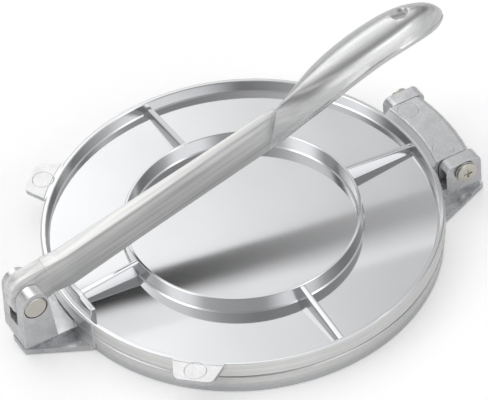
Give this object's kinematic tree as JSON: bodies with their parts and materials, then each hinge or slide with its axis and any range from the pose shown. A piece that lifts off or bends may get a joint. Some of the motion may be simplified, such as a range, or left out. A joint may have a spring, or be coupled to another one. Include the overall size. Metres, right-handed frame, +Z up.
{
  "type": "tortilla press",
  "caption": "Tortilla press with a round base plate, a ribbed upper plate hinged at one side, and a long lever that turns in a bracket at the other side and presses the plates together.",
  "frame": {"origin": "middle of the whole press's length and width, on the table that it stands on", "axes": "+Z up; +X from the lever's bracket to the plates' hinge, along the lever; +Y across, away from the side with the flat head of the lever's pivot post"},
  "size_m": [0.2596, 0.208, 0.1133],
  "materials": {
    "cast_aluminium": "polished cast aluminium",
    "nickel_steel": "nickel-plated steel"
  },
  "bodies": {
    "base": {"base_plate": "cast_aluminium", "lever_pivot_post": "nickel_steel", "lever_pivot_screw": "nickel_steel", "hinge_screw_near": "nickel_steel", "hinge_screw_far": "nickel_steel", "hinge_washer_near": "nickel_steel", "hinge_washer_far": "nickel_steel"},
    "lever_arm": {"lever": "cast_aluminium"},
    "upper": {"upper_plate": "cast_aluminium"}
  },
  "joints": [
    {"name": "lever_hinge", "type": "hinge", "parent": "base", "child": "lever_arm", "pos_m": [-0.1201, 0, 0.0347], "axis": [0, -1, 0], "range_deg": [0, 165]},
    {"name": "lid_hinge", "type": "hinge", "parent": "base", "child": "upper", "pos_m": [0.119, 0, 0.0187], "axis": [0, 1, 0], "range_deg": [0, 110]}
  ],
  "couplings": [
    {"joint": "lid_hinge", "follows": "lever_hinge", "ratio": 0.1}
  ]
}
